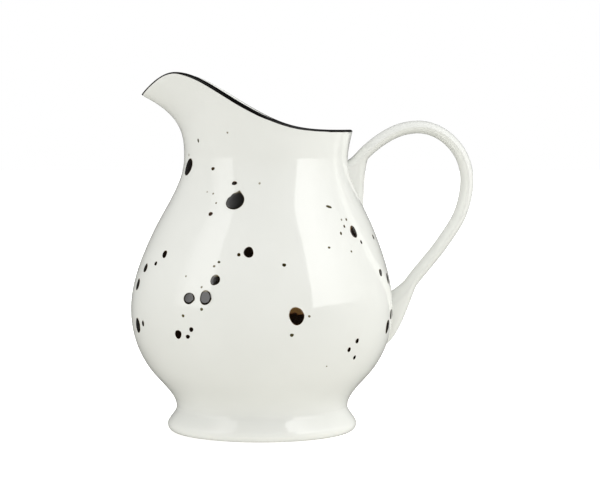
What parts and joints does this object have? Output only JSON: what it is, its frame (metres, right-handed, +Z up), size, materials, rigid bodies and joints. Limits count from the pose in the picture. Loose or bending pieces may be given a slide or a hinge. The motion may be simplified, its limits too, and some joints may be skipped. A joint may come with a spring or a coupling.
{
  "type": "ceramic pitcher",
  "caption": "Footed ceramic pitcher with a pear-shaped belly, a beak spout, a strap handle, a dark line on the lip and raised dark glaze spots, for holding and pouring drinks or for flowers.",
  "frame": {"origin": "centre of the foot's rest plane, on the foot's centre line", "axes": "+Z up; the spout points along -X and the handle stands towards +X; +Y is the side that faces away from someone who has the spout on their left"},
  "size_m": [0.2162, 0.165, 0.2251],
  "materials": {
    "white_glaze": "glossy",
    "black_line": "glossy",
    "dark_glaze": "glossy"
  },
  "bodies": {
    "root": {"body": "white_glaze", "foot_ring": "white_glaze", "handle": "white_glaze", "upper_root": "white_glaze", "lower_root": "white_glaze", "rim_line": "black_line", "large_spots": "dark_glaze", "small_spots": "dark_glaze"}
  },
  "joints": []
}
